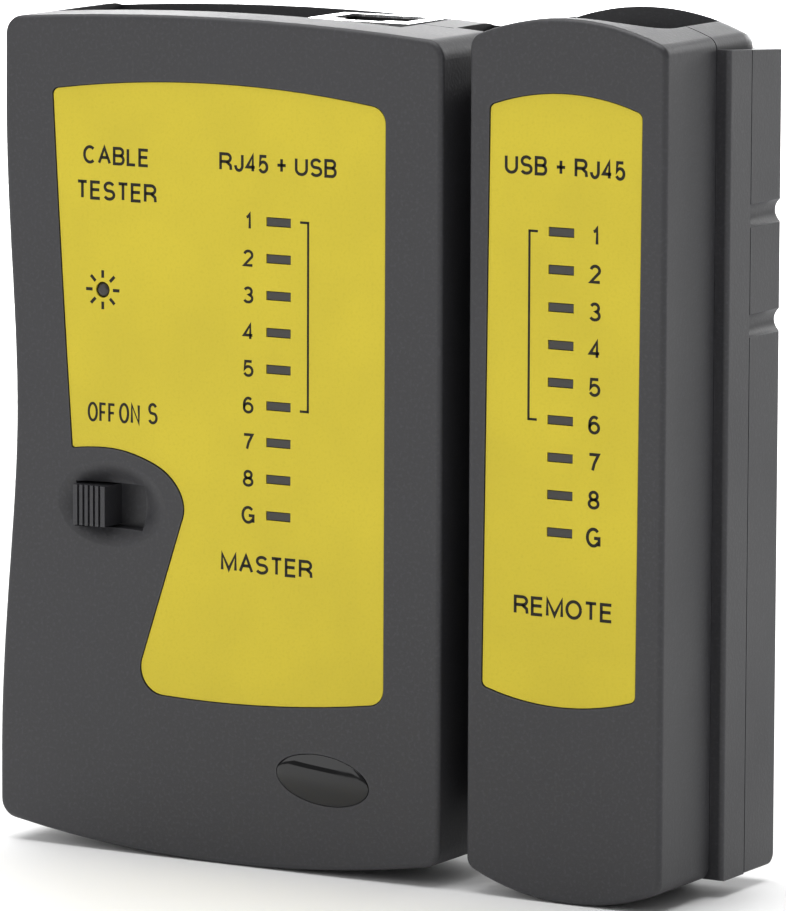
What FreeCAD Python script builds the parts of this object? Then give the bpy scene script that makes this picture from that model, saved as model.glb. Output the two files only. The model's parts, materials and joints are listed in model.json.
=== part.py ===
"""Network cable tester: a wide master unit with a narrow remote unit parked on its right side.

Millimetres. +Z is up and along the tall side, the labelled fronts face -Y, and +X is to the right
as the labels are read. The origin is at the middle of the footprint, on the surface it stands on.
"""
import FreeCAD, Part
import math
import os

os.makedirs("parts", exist_ok=True)
V = FreeCAD.Vector

# Overall case
CASE_LEFT = -50.6
MASTER_RIGHT = 15.95
REMOTE_LEFT = 19.85
REMOTE_RIGHT = 47.85
RIB_OUTSIDE = 49.6
FRONT = -13.1
BACK = 14.9
SEAM = 0.1
WALL = 2.0
BACK_ROUNDING = 6.5
PLANED_OFF = 0.08
FRONT_ROUNDING = 0.7
SEAM_REVEAL = 0.25
MASTER_CORNER = 2.5
REMOTE_CORNER = 1.8
ABOVE = 130.0
BELOW = -10.0

# The drawing's zero lies a little off the middle of the footprint; saved pieces are moved by this
TO_MIDDLE = V(0.5, -0.5, 0.0)

# Labels sit in shallow pockets in the fronts
POCKET_DEPTH = 0.45
POCKET_FLOOR = FRONT + POCKET_DEPTH
LABEL_THICKNESS = 0.3
LABEL_GAP = 0.12

# Indicator lamps
LAMP_COUNT = 9
LAMP_PITCH = 4.747
MASTER_LAMPS = (-8.05, 84.2)
REMOTE_LAMPS = (33.1, 85.45)
WINDOW = (3.65, 1.2)
POWER_LAMP = (-34.55, 73.85)
POWER_HOLE_RADIUS = 1.05

# Circuit boards
BOARD_THICKNESS = 1.6
MASTER_BOARD_FRONT = -3.1
REMOTE_BOARD_FRONT = -5.2

# Slide switch
DISH = (-33.2, 45.9)
DISH_HALF = (8.2, 5.6)
DISH_DEPTH = 1.9
SLOT_X = (-38.9, -28.75)
SLOT_Z = (42.6, 48.5)
KNOB_X = (-38.6, -33.75)
KNOB_Z = (42.9, 48.2)
KNOB_FACE = FRONT - 0.8
KNOB_TRAVEL = 4.0
KNOB_RIBS = 6

# Oval badge
BADGE = (-1.3, 12.5)
BADGE_HALF = (6.85, 3.2)
BADGE_TILT = 6.0
BADGE_HEIGHT = 0.5

# Port bays in the tops: x, y and floor height
MASTER_BAY_X = (-46.3, 5.4)
MASTER_BAY_Y = (-5.2, 10.5)
MASTER_BAY_FLOOR = 106.3
REMOTE_BAY_X = (22.6, 43.5)
REMOTE_BAY_Y = (-11.0, 9.8)
REMOTE_BAY_FLOOR = 107.4
REMOTE_BAY_CORNER = 8.5

# Eight-pin jacks: depth and height, then each one's x, y and mouth height, and its width
JACK = (11.0, 18.0)
JACK_SHEET = 0.35
PLUG_BAY = (11.8, 6.9, 13.2)
LATCH_SLOT = (6.2, 1.4)
CONTACT_PITCH = 1.02
MASTER_JACK = (-11.4, -1.4, 109.3)
MASTER_JACK_WIDTH = 15.8
REMOTE_JACK = (29.4, -3.5, 109.6)
REMOTE_JACK_WIDTH = 13.6

# Flat USB socket
USB = (13.1, 5.7, 14.0)
USB_SHEET = 0.3
USB_TONGUE = (11.1, 1.84, 8.9)
MASTER_USB = (-32.5, -1.4, 108.3)
REMOTE_USB = (23.1, -3.5, 109.3)

# Docking channel in the master and T rail on the remote
CHANNEL_X = (10.0, 14.3)
CHANNEL_Y = (1.1, 10.6)
MOUTH_Y = (3.2, 8.5)
CHANNEL_FLOOR = 8.0
HOUSING_LEFT = 8.3
HOUSING_FRONT = -0.9
RAIL_CLEARANCE = 0.3
RAIL_TOP = 103.5

# Side rib of the remote
RIB_FRONT = 0.45
RIB_SPLIT = 6.5
RIB_BOTTOM = 2.2
RIB_TOP_FRONT = 108.0
RIB_TOP_BACK = 107.05
RIB_CORNER = 1.5
RIB_GROOVES = (86.6, 72.6)
RIB_GROOVE_RADIUS = 1.75
RIB_GROOVE_DEPTH = 0.85

# Battery and its door
BATTERY_X = (-45.4, 1.0)
BATTERY_Y = (-7.3, 10.2)
BATTERY_Z = (5.0, 31.5)
DOOR_X = (-43.0, 7.0)
DOOR_TOP = 33.0
DOOR_GAP = 0.2
DOOR_TONGUE = 1.4
PARTITION_Z = (31.8, 33.0)

# Screws
CASE_SCREW_LENGTH = 12.0
MASTER_SCREWS = ((-42.3, 97.5), (4.8, 84.0), (-43.0, 37.6), (4.8, 44.0))
REMOTE_SCREWS = ((26.6, 83.5), (41.2, 19.5))
SCREW_SEAT = 4.1
MASTER_POSTS = ((-20.0, 47.0), (-40.0, 82.0), (5.9, 66.0))
REMOTE_POSTS = ((41.4, 70.0), (26.8, 30.0))
POST_RADIUS = 2.4


# ---------------------------------------------------------------- basic shapes

def box(x, y, z):
    """A block between pairs of x, y and z limits."""
    return Part.makeBox(x[1] - x[0], y[1] - y[0], z[1] - z[0], V(x[0], y[0], z[0]))


def rod(x, z, radius, y0, y1):
    """A cylinder that runs front to back."""
    return Part.makeCylinder(radius, y1 - y0, V(x, y0, z), V(0, 1, 0))


def line(a, b):
    return Part.LineSegment(V(a[0], 0, a[1]), V(b[0], 0, b[1])).toShape()


def arc(a, middle, b):
    return Part.Arc(V(a[0], 0, a[1]), V(middle[0], 0, middle[1]), V(b[0], 0, b[1])).toShape()


def falling_curve(points):
    """A smooth curve through points, vertical at both ends."""
    curve = Part.BSplineCurve()
    down = V(0, 0, -1)
    curve.interpolate([V(x, 0, z) for x, z in points], InitialTangent=down, FinalTangent=down)
    return curve.toShape()


def sweeping_curve(points):
    """A smooth curve through points."""
    curve = Part.BSplineCurve()
    curve.interpolate([V(x, 0, z) for x, z in points])
    return curve.toShape()


def prism(edges, y0, y1):
    """A closed front-view outline, extruded from y0 to y1."""
    face = Part.Face(Part.Wire(Part.__sortEdges__(edges)))
    face.translate(V(0, y0, 0))
    return face.extrude(V(0, y1 - y0, 0))


def polygon_x(points, x0, x1):
    """A side-view polygon of (y, z) points, extruded from x0 to x1."""
    corners = [V(x0, y, z) for y, z in points]
    face = Part.Face(Part.makePolygon(corners + corners[:1]))
    return face.extrude(V(x1 - x0, 0, 0))


def upright_edges(shape):
    """The edges that run straight front to back."""
    found = []
    for edge in shape.Edges:
        a = edge.Vertexes[0].Point
        b = edge.Vertexes[-1].Point
        if abs(a.x - b.x) < 1e-4 and abs(a.z - b.z) < 1e-4 and abs(a.y - b.y) > 0.1:
            found.append(edge)
    return found


def rim_edges(shape, y):
    """The edges that lie in the plane at y."""
    def flat(edge):
        return abs(edge.BoundBox.YMin - y) < 1e-3 and abs(edge.BoundBox.YMax - y) < 1e-3
    return [edge for edge in shape.Edges if flat(edge)]


def edges_near(shape, points, reach):
    """The front-to-back edges within reach of the (x, z) points."""
    def close(edge):
        at = edge.Vertexes[0].Point
        return any(math.hypot(at.x - x, at.z - z) < reach for x, z in points)
    return [edge for edge in upright_edges(shape) if close(edge)]


def fuse_all(shapes):
    first = shapes[0]
    if len(shapes) == 1:
        return first
    return first.multiFuse(shapes[1:])


def group(shapes):
    """Separate identical solids that share one node."""
    return Part.makeCompound(shapes)


def save(name, shape):
    """Moves a piece to the finished origin and writes it."""
    moved = shape.copy()
    moved.translate(TO_MIDDLE)
    moved.exportStep("parts/" + name + ".step")


# ---------------------------------------------------------------- case outlines

def master_block(inset, y0, y1):
    """The master's outline: waisted left side, gently arched top and bottom."""
    left = CASE_LEFT + inset
    right = MASTER_RIGHT - inset
    top_left = (left + 1.15, 108.7 - inset)
    top_right = (right, 108.45 - inset)
    bottom_left = (left, 3.3 + inset)
    bottom_right = (right, 3.0 + inset)
    waist = [top_left, (left + 1.1, 95.0), (left + 1.65, 80.5), (left + 2.6, 56.0),
             (left + 0.95, 31.5), (left + 0.06, 16.0), bottom_left]
    return prism([falling_curve(waist),
                  arc(top_left, (-19.75, 109.95 - inset), top_right),
                  line(top_right, bottom_right),
                  arc(bottom_right, (-16.0, inset), bottom_left)], y0, y1)


def remote_block(inset, y0, y1):
    """The remote's outline: straight sides, strongly arched top and bottom."""
    left = REMOTE_LEFT + inset
    right = REMOTE_RIGHT - inset
    top_left = (left, 109.3 - inset)
    top_right = (right, 109.1 - inset)
    bottom_left = (left, 3.6 + inset)
    bottom_right = (right, 2.8 + inset)
    return prism([line(top_left, bottom_left),
                  arc(top_left, (33.8, 112.2 - inset), top_right),
                  line(top_right, bottom_right),
                  arc(bottom_right, (34.9, inset), bottom_left)], y0, y1)


def rounded_case(block, corner):
    """The outside of a unit, rounded generously at the back and slightly at the front.

    The back is made a little deep and then planed flat, so that the corner roundings end cleanly.
    """
    deep = BACK + PLANED_OFF
    shape = block(0.0, FRONT, deep)
    shape = shape.makeFillet(BACK_ROUNDING, rim_edges(shape, deep))
    shape = shape.makeFillet(corner, upright_edges(shape))
    shape = shape.makeFillet(FRONT_ROUNDING, rim_edges(shape, FRONT))
    return shape.cut(box((-60.0, 60.0), (BACK, BACK + 2), (BELOW, ABOVE)))


def case_hollow(block):
    """The space inside a unit, one wall thickness in from the outside."""
    shape = block(WALL, FRONT + WALL, BACK - WALL)
    return shape.makeFillet(BACK_ROUNDING - WALL, rim_edges(shape, BACK - WALL))


def seam_reveal(block):
    """A thin ring, cut from the back shell, that leaves a fine line round the seam."""
    outer = block(-1.0, SEAM, SEAM + SEAM_REVEAL)
    return outer.cut(block(0.3, SEAM - 1.0, SEAM + 1.0))


# ---------------------------------------------------------------- labels

def master_label_outline(gap, y0, y1):
    """The master's label outline, with a bay cut out of its left side for the switch."""
    top_left = (-42.15 + gap, 99.75 - gap)
    top_right = (7.8 - gap, 99.6 - gap)
    bottom_right = (7.7 - gap, 23.1 + gap)
    bottom_left = (-30.1 + gap, 21.6 + gap)
    bay_left = (-39.3 + gap, 52.8 + gap)
    bay = [(-22.65 + gap, 44.35), (-22.35 + gap, 46.7), (-25.0 + gap, 50.55 + gap),
           (-28.05 + gap, 52.05 + gap), (-31.45 + gap, 52.95 + gap), (-35.9 + gap, 53.15 + gap), bay_left]
    shape = prism([arc(top_left, (-17.5, 101.55 - gap), top_right),
                   line(top_right, bottom_right),
                   arc(bottom_right, (-15.0, 21.15 + gap), bottom_left),
                   line(bottom_left, bay[0]),
                   sweeping_curve(bay),
                   arc(bay_left, (-40.85 + gap, 76.5), top_left)], y0, y1)
    shape = shape.makeFillet(3.5, edges_near(shape, [bottom_left], 0.5))
    shape = shape.makeFillet(2.2, edges_near(shape, [bottom_right, top_right], 0.5))
    shape = shape.makeFillet(0.9, edges_near(shape, [top_left], 0.5))
    return shape.makeFillet(0.35, edges_near(shape, [bay_left], 0.5))


def remote_label_outline(gap, y0, y1):
    """The remote's label outline: it leans a little, with its foot to the left."""
    top_left = (22.8 + gap, 101.0 - gap)
    top_right = (44.55 - gap, 100.9 - gap)
    bottom_left = (22.0 + gap, 27.0 + gap)
    bottom_right = (44.15 - gap, 26.8 + gap)
    shape = prism([arc(top_left, (33.4, 102.9 - gap), top_right),
                   line(top_right, bottom_right),
                   arc(bottom_right, (33.2, 25.15 + gap), bottom_left),
                   line(bottom_left, top_left)], y0, y1)
    return shape.makeFillet(0.9, upright_edges(shape))


def window_cuts(first, grow, y0, y1):
    """One small oblong per indicator lamp."""
    half_x = WINDOW[0] / 2 + grow
    half_z = WINDOW[1] / 2 + grow
    cuts = []
    for i in range(LAMP_COUNT):
        z = first[1] - i * LAMP_PITCH
        cuts.append(box((first[0] - half_x, first[0] + half_x), (y0, y1), (z - half_z, z + half_z)))
    return cuts


def master_label():
    label = master_label_outline(LABEL_GAP, POCKET_FLOOR - LABEL_THICKNESS, POCKET_FLOOR)
    cuts = window_cuts(MASTER_LAMPS, 0.0, FRONT - 1, SEAM)
    cuts.append(rod(POWER_LAMP[0], POWER_LAMP[1], POWER_HOLE_RADIUS, FRONT - 1, SEAM))
    return label.cut(cuts)


def remote_label():
    label = remote_label_outline(LABEL_GAP, POCKET_FLOOR - LABEL_THICKNESS, POCKET_FLOOR)
    return label.cut(window_cuts(REMOTE_LAMPS, 0.0, FRONT - 1, SEAM))


def oval(half_x, half_z, y0, y1):
    """The badge's tilted ellipse, extruded."""
    ellipse = Part.Ellipse(V(0, 0, 0), half_x, half_z)
    face = Part.Face(Part.Wire([ellipse.toShape()]))
    face.rotate(V(0, 0, 0), V(1, 0, 0), 90)
    face.rotate(V(0, 0, 0), V(0, 1, 0), BADGE_TILT)
    face.translate(V(BADGE[0], y0, BADGE[1]))
    return face.extrude(V(0, y1 - y0, 0))


def oval_badge():
    badge = oval(BADGE_HALF[0], BADGE_HALF[1], FRONT - BADGE_HEIGHT, FRONT + 0.3)
    return badge.makeFillet(0.35, rim_edges(badge, FRONT - BADGE_HEIGHT))


# ---------------------------------------------------------------- features shared by both cases

def front_bosses(places):
    """Posts in a front shell that the case screws bite into."""
    return [rod(x, z, 3.0, FRONT + 1.5, SEAM) for x, z in places]


def front_boss_holes(places):
    return [rod(x, z, 1.3, -9.5, SEAM + 1) for x, z in places]


def back_bosses(places):
    """Hollow posts in a back shell that the case screws pass through."""
    return [rod(x, z, 4.0, SEAM, BACK - 1.0) for x, z in places]


def back_boss_holes(places):
    holes = [rod(x, z, 1.6, SEAM - 1, SCREW_SEAT + 0.5) for x, z in places]
    return holes + [rod(x, z, 2.9, SCREW_SEAT, BACK + 1) for x, z in places]


def board_posts(places, board_front):
    posts = [rod(x, z, POST_RADIUS, FRONT + 1.5, board_front) for x, z in places]
    holes = [rod(x, z, 0.85, board_front - 6.0, board_front + 1) for x, z in places]
    return posts, holes


def bay_housing(hollow, bay_x, bay_y, floor):
    """The walls and floor that close a port bay off from the inside."""
    around = box((bay_x[0] - 2.0, bay_x[1] + 2.0), (bay_y[0] - 2.0, bay_y[1] + 2.0),
                 (floor - 2.0, ABOVE))
    return around.common(hollow)


def port_hole(corner, size, clearance):
    """The hole in a bay floor for a port of a given size."""
    return box((corner[0] - clearance, corner[0] + size[0] + clearance),
               (corner[1] - clearance, corner[1] + size[1] + clearance), (80.0, ABOVE))


# ---------------------------------------------------------------- master case

def channel():
    """The T-shaped docking channel, open at the top and to the right."""
    wide = box(CHANNEL_X, CHANNEL_Y, (CHANNEL_FLOOR, ABOVE))
    mouth = box((CHANNEL_X[1] - 0.1, MASTER_RIGHT + 1), MOUTH_Y, (CHANNEL_FLOOR, ABOVE))
    return wide.fuse(mouth)


def dish():
    """A shallow oval scoop with a soft rim round the switch slot, drawn round and then squashed."""
    profile = Part.BSplineCurve()
    profile.interpolate([V(1.2, -0.07, 0), V(1.0, 0.0, 0), V(0.87, 0.15 * DISH_DEPTH, 0),
                         V(0.7, 0.5 * DISH_DEPTH, 0), V(0.48, 0.85 * DISH_DEPTH, 0),
                         V(0.0, DISH_DEPTH, 0)])
    foot = V(0.0, DISH_DEPTH, 0)
    start = V(1.2, -0.07, 0)
    axis_end = V(0.0, -0.07, 0)
    edges = [profile.toShape(), Part.makeLine(foot, axis_end), Part.makeLine(axis_end, start)]
    scoop = Part.Face(Part.Wire(Part.__sortEdges__(edges))).revolve(V(0, 0, 0), V(0, 1, 0), 360)
    squash = FreeCAD.Matrix()
    squash.scale(DISH_HALF[0], 1.0, DISH_HALF[1])
    scoop = scoop.transformGeometry(squash)
    scoop.translate(V(DISH[0], FRONT, DISH[1]))
    return scoop


def door_cavity():
    """What the battery door takes out of the back shell, with room to slide down."""
    opening = box((DOOR_X[0] - DOOR_GAP, DOOR_X[1] + DOOR_GAP), (BACK - WALL - 0.5, BACK + 1),
                  (BELOW, DOOR_TOP + DOOR_GAP))
    reach = DOOR_TONGUE + DOOR_GAP
    track = box((DOOR_X[0] - reach, DOOR_X[1] + reach), (BACK - WALL - 1.4, BACK - WALL + 0.01),
                (BELOW, DOOR_TOP - 0.6))
    return opening.fuse(track)


def master_body():
    """Both master shells as one hollow shape, before they are split at the seam."""
    hollow = case_hollow(master_block)
    hollow = hollow.cut(box((HOUSING_LEFT, ABOVE), (HOUSING_FRONT, ABOVE), (BELOW, ABOVE)))
    housing = bay_housing(hollow, MASTER_BAY_X, MASTER_BAY_Y, MASTER_BAY_FLOOR)
    partition = box((-60.0, 60.0), (FRONT, BACK), PARTITION_Z).common(hollow)
    pad = box((-43.5, -24.5), (FRONT + 1.5, FRONT + 3.3), (39.0, 53.0))
    body = rounded_case(master_block, MASTER_CORNER).cut(hollow)
    body = body.multiFuse([housing, partition, pad])
    bay = box(MASTER_BAY_X, MASTER_BAY_Y, (MASTER_BAY_FLOOR, ABOVE))
    lead_notch = box((5.4, 8.2), (-3.0, 6.0), (31.0, 34.0))
    cuts = [channel(), bay, lead_notch,
            port_hole(MASTER_JACK, (MASTER_JACK_WIDTH, JACK[0]), 0.1),
            port_hole(MASTER_USB, USB, 0.1),
            dish(), box(SLOT_X, (FRONT - 1, SEAM), SLOT_Z)]
    return body.cut(cuts)


def front_side():
    """Everything in front of the seam, with the lip that closes the channel's front edge."""
    ahead = box((-60.0, 18.0), (FRONT - 2, SEAM), (BELOW, ABOVE))
    lip = box((CHANNEL_X[1], 18.0), (SEAM - 0.1, MOUTH_Y[0]), (BELOW, ABOVE))
    return ahead.fuse(lip)


def master_front_shell(body):
    shell = body.common(front_side())
    posts, holes = board_posts(MASTER_POSTS, MASTER_BOARD_FRONT)
    shell = shell.multiFuse(front_bosses(MASTER_SCREWS) + posts)
    cuts = front_boss_holes(MASTER_SCREWS) + holes
    cuts.append(master_label_outline(0.0, FRONT - 1, POCKET_FLOOR))
    cuts.append(oval(BADGE_HALF[0] + 0.1, BADGE_HALF[1] + 0.1, FRONT - 1, FRONT + 0.3))
    cuts += window_cuts(MASTER_LAMPS, 0.15, FRONT - 1, FRONT + WALL + 0.5)
    cuts.append(rod(POWER_LAMP[0], POWER_LAMP[1], POWER_HOLE_RADIUS, FRONT - 1, FRONT + WALL + 0.5))
    return shell.cut(cuts)


def master_back_shell(body):
    shell = body.cut(front_side())
    shell = shell.multiFuse(back_bosses(MASTER_SCREWS))
    reveal = seam_reveal(master_block).cut(box((CHANNEL_X[0], 20.0), (0, 5), (BELOW, ABOVE)))
    return shell.cut(back_boss_holes(MASTER_SCREWS) + [door_cavity(), reveal])


def battery_door(outside):
    """The door: a piece of the back wall with a tongue behind each side and finger ridges."""
    plate = outside.common(box(DOOR_X, (BACK - WALL, BACK + 1), (BELOW, DOOR_TOP)))
    inner = (BACK - WALL - 1.1, BACK - WALL - 0.3)
    tongues = []
    for edge, way in ((DOOR_X[0], -1), (DOOR_X[1], 1)):
        outer = edge + way * DOOR_TONGUE
        root = edge - way * 3.0
        tongues.append(box(sorted((outer, root)), inner, (6.0, DOOR_TOP - 1.0)))
        step = box(sorted((edge - way * 0.3, root)), (inner[0], BACK - WALL + 0.3), (6.0, DOOR_TOP - 1.0))
        tongues.append(step)
    door = plate.multiFuse(tongues)
    centre = (DOOR_X[0] + DOOR_X[1]) / 2
    ridges = []
    for i in range(5):
        z = 20.0 + 1.6 * i
        ridges.append(box((centre - 7.0 + i, centre + 7.0 - i), (BACK - 0.45, BACK + 1), (z, z + 0.8)))
    return door.cut(ridges)


# ---------------------------------------------------------------- remote case

def side_rib(y0, y1):
    """The stepped rib down the remote's right side, between two depths."""
    fall = (RIB_TOP_FRONT - RIB_TOP_BACK) / (BACK - RIB_FRONT)

    def top(y):
        return RIB_TOP_FRONT - (y - RIB_FRONT) * fall
    outline = [(y0, RIB_BOTTOM), (y1, RIB_BOTTOM), (y1, top(y1)), (y0, top(y0))]
    return polygon_x(outline, REMOTE_RIGHT - BACK_ROUNDING - 0.5, RIB_OUTSIDE)


def rib_front():
    """The rib's front half, with its outer front edge and its foot rounded."""
    rib = side_rib(RIB_FRONT, RIB_SPLIT - 0.1)
    outer = [edge for edge in rib.Edges
             if edge.BoundBox.XMin > RIB_OUTSIDE - 0.01 and edge.BoundBox.YMax < RIB_FRONT + 0.01]
    low = [edge for edge in rib.Edges if edge.BoundBox.YMax < RIB_FRONT + 0.01 and edge.BoundBox.ZMax < 3.0]
    return rib.makeFillet(0.6, outer + low)


def rib_back():
    """The rib's back half, with two round grooves across it."""
    rib = side_rib(RIB_SPLIT + 0.1, BACK)
    low = [edge for edge in rib.Edges if edge.BoundBox.YMin > BACK - 0.01 and edge.BoundBox.ZMax < 3.0]
    rib = rib.makeFillet(RIB_CORNER, low)
    along = [edge for edge in rib.Edges
             if edge.BoundBox.XMin > RIB_OUTSIDE - 0.01 and edge.BoundBox.YMin > BACK - 0.01]
    rib = rib.makeFillet(0.4, along)
    centre = RIB_OUTSIDE - RIB_GROOVE_DEPTH + RIB_GROOVE_RADIUS
    cuts = []
    for z in RIB_GROOVES:
        cuts.append(Part.makeCylinder(RIB_GROOVE_RADIUS, 20, V(centre, RIB_SPLIT, z), V(0, 1, 0)))
    return rib.cut(cuts)


def t_rail():
    """The rail that hangs the remote in the master's channel."""
    gap = RAIL_CLEARANCE
    up = (CHANNEL_FLOOR + gap, RAIL_TOP)
    head = box((CHANNEL_X[0] + gap, CHANNEL_X[1] - gap), (CHANNEL_Y[0] + gap, CHANNEL_Y[1] - gap), up)
    neck = box((CHANNEL_X[1] - gap - 0.1, REMOTE_LEFT + 0.5), (MOUTH_Y[0] + gap, MOUTH_Y[1] - gap), up)
    return head.fuse(neck)


def remote_body():
    hollow = case_hollow(remote_block)
    housing = bay_housing(hollow, REMOTE_BAY_X, REMOTE_BAY_Y, REMOTE_BAY_FLOOR)
    body = rounded_case(remote_block, REMOTE_CORNER)
    body = body.multiFuse([rib_front(), rib_back()]).cut(hollow)
    bay = box(REMOTE_BAY_X, REMOTE_BAY_Y, (REMOTE_BAY_FLOOR, ABOVE))
    corners = [edge for edge in bay.Edges
               if edge.BoundBox.YMax < REMOTE_BAY_Y[0] + 0.01 and edge.BoundBox.ZLength > 10]
    bay = bay.makeFillet(REMOTE_BAY_CORNER, corners)
    turned = (USB[1], USB[0], USB[2])
    holes = [port_hole(REMOTE_JACK, (REMOTE_JACK_WIDTH, JACK[0]), 0.1), port_hole(REMOTE_USB, turned, 0.1)]
    return body.fuse(housing).cut([bay] + holes)


def remote_front_shell(body):
    shell = body.common(box((18.0, 60.0), (FRONT - 2, SEAM), (BELOW, ABOVE)))
    posts, holes = board_posts(REMOTE_POSTS, REMOTE_BOARD_FRONT)
    shell = shell.multiFuse(front_bosses(REMOTE_SCREWS) + posts)
    cuts = front_boss_holes(REMOTE_SCREWS) + holes
    cuts.append(remote_label_outline(0.0, FRONT - 1, POCKET_FLOOR))
    cuts += window_cuts(REMOTE_LAMPS, 0.15, FRONT - 1, FRONT + WALL + 0.5)
    return shell.cut(cuts)


def remote_back_shell(body):
    shell = body.common(box((18.0, 60.0), (SEAM, BACK + 2), (BELOW, ABOVE)))
    shell = shell.multiFuse(back_bosses(REMOTE_SCREWS) + [t_rail()])
    return shell.cut(back_boss_holes(REMOTE_SCREWS) + [seam_reveal(remote_block)])


# ---------------------------------------------------------------- ports

def jack_shield(corner, width):
    """The folded metal can round a jack, with its face plate flush at the mouth."""
    x, y, top = corner
    can = box((x, x + width), (y, y + JACK[0]), (top - JACK[1], top))
    t = JACK_SHEET
    inside = box((x + t, x + width - t), (y + t, y + JACK[0] - t), (top - JACK[1] - 1, top - t))
    return can.cut([inside, plug_space(corner, width)])


def plug_space(corner, width):
    """The plug's space in a jack: a block with a narrower slot for the latch in front of it."""
    x, y, top = corner
    middle = x + width / 2
    back = y + JACK[0] - 1.2
    half = PLUG_BAY[0] / 2
    block = box((middle - half, middle + half), (back - PLUG_BAY[1], back), (top - PLUG_BAY[2], top + 1))
    front = back - PLUG_BAY[1] - LATCH_SLOT[1]
    half = LATCH_SLOT[0] / 2
    slot = box((middle - half, middle + half), (front, back - 1), (top - PLUG_BAY[2], top + 1))
    return block.fuse(slot)


def jack_body(corner, width):
    x, y, top = corner
    t = JACK_SHEET + 0.03
    block = box((x + t, x + width - t), (y + t, y + JACK[0] - t), (top - JACK[1], top - t))
    return block.cut(plug_space(corner, width))


def jack_contacts(corner, width):
    """Eight spring contacts that slope into the plug's space from its back wall."""
    x, y, top = corner
    middle = x + width / 2
    back = y + JACK[0] - 1.2
    low = top - PLUG_BAY[2]
    wires = []
    for i in range(8):
        left = middle + (i - 3.5) * CONTACT_PITCH - 0.2
        bent = [(back - 0.02, low + 10.0), (back - 0.4, low + 10.2), (back - 2.1, low + 3.6),
                (back - 1.9, low + 3.0), (back - 1.7, low + 3.4), (back - 0.45, low + 8.6),
                (back - 0.02, low + 9.0)]
        wires.append(polygon_x(bent, left, left + 0.4))
    return group(wires)


def usb_shell():
    """A flat USB socket's metal shell, mouth up, with its corner at the origin below the mouth."""
    outer = box((0, USB[0]), (0, USB[1]), (-USB[2], 0))
    t = USB_SHEET
    inner = box((t, USB[0] - t), (t, USB[1] - t), (-USB[2] + t, 1))
    windows = []
    for x in (2.6, 8.2):
        windows.append(box((x, x + 2.3), (USB[1] - 1, USB[1] + 1), (-9.0, -4.5)))
    return outer.cut([inner] + windows)


def usb_tongue():
    base = box((USB_SHEET + 0.02, USB[0] - USB_SHEET - 0.02), (USB_SHEET + 0.02, USB[1] - USB_SHEET - 0.02),
               (-USB[2] + USB_SHEET + 0.02, -USB[2] + 4.5))
    start = (USB[0] - USB_TONGUE[0]) / 2
    blade = box((start, start + USB_TONGUE[0]), (1.0, 1.0 + USB_TONGUE[1]), (-USB[2] + 4.4, -0.9))
    return base.fuse(blade)


def usb_contacts():
    strips = []
    for x in (3.05, 5.05, 7.05, 9.05):
        top_of_tongue = 1.0 + USB_TONGUE[1]
        strips.append(box((x, x + 1.0), (top_of_tongue, top_of_tongue + 0.15), (-9.4, -1.6)))
    return group(strips)


def place_usb(shape, corner, turned):
    """Moves a USB piece to its place. A turned socket has its wide side front to back."""
    moved = shape.copy()
    if turned:
        moved.rotate(V(0, 0, 0), V(0, 0, 1), 90)
        moved.translate(V(USB[1], 0, 0))
    moved.translate(V(*corner))
    return moved


# ---------------------------------------------------------------- boards and what is on them

def board(x, z, front, screws, posts):
    """A circuit board with clearance round the case bosses and small holes for its own screws."""
    blank = box(x, (front, front + BOARD_THICKNESS), z)
    cuts = [rod(cx, cz, 3.4, front - 1, front + 3) for cx, cz in screws]
    cuts += [rod(cx, cz, 1.2, front - 1, front + 3) for cx, cz in posts]
    return blank.cut(cuts)


def bar_lamp(x, z, board_front):
    """An oblong lamp: a narrow lens on a wider base, on two legs."""
    face = POCKET_FLOOR - LABEL_THICKNESS + 0.08
    lens = box((x - 1.75, x + 1.75), (face, FRONT + 2.3), (z - 0.5, z + 0.5))
    base = box((x - 2.5, x + 2.5), (FRONT + 2.2, FRONT + 6.0), (z - 1.2, z + 1.2))
    legs = [box((x + s - 0.25, x + s + 0.25), (FRONT + 5.9, board_front), (z - 0.25, z + 0.25))
            for s in (-1.27, 1.27)]
    return lens.multiFuse([base] + legs)


def bar_lamps(first, board_front):
    return group([bar_lamp(first[0], first[1] - i * LAMP_PITCH, board_front) for i in range(LAMP_COUNT)])


def power_lamp():
    """A small round lamp whose tip fills its hole in the label."""
    x, z = POWER_LAMP
    tip = FRONT + 0.1
    lens = rod(x, z, POWER_HOLE_RADIUS - 0.08, tip, FRONT + 2.3)
    lens = lens.makeFillet(0.6, rim_edges(lens, tip))
    base = rod(x, z, 1.6, FRONT + 2.2, FRONT + 5.6)
    flange = rod(x, z, 1.9, FRONT + 5.5, FRONT + 6.4)
    legs = [box((x + s - 0.25, x + s + 0.25), (FRONT + 6.3, MASTER_BOARD_FRONT), (z - 0.25, z + 0.25))
            for s in (-1.27, 1.27)]
    return lens.multiFuse([base, flange] + legs)


def chip(x, z, pins, front):
    """A dual in-line chip lying on the back of a board, with its rows of legs."""
    rows = pins // 2
    length = rows * 2.54 - 0.6
    body = box((x, x + length), (front + 0.5, front + 3.9), (z, z + 6.4))
    body = body.cut(Part.makeCylinder(0.8, 1.0, V(x, front + 3.6, z + 3.2), V(0, 1, 0)))
    legs = []
    for i in range(rows):
        mid = x + length / 2 + (i - (rows - 1) / 2) * 2.54
        for side, reach in ((z, -0.75), (z + 6.4, 0.75)):
            foot = sorted((side - 0.1 * reach, side + reach))
            outer = sorted((side + reach * 0.6, side + reach))
            legs.append(box((mid - 0.3, mid + 0.3), (front, front + 2.3), outer))
            legs.append(box((mid - 0.3, mid + 0.3), (front + 2.0, front + 2.3), foot))
    return body.multiFuse(legs)


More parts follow.
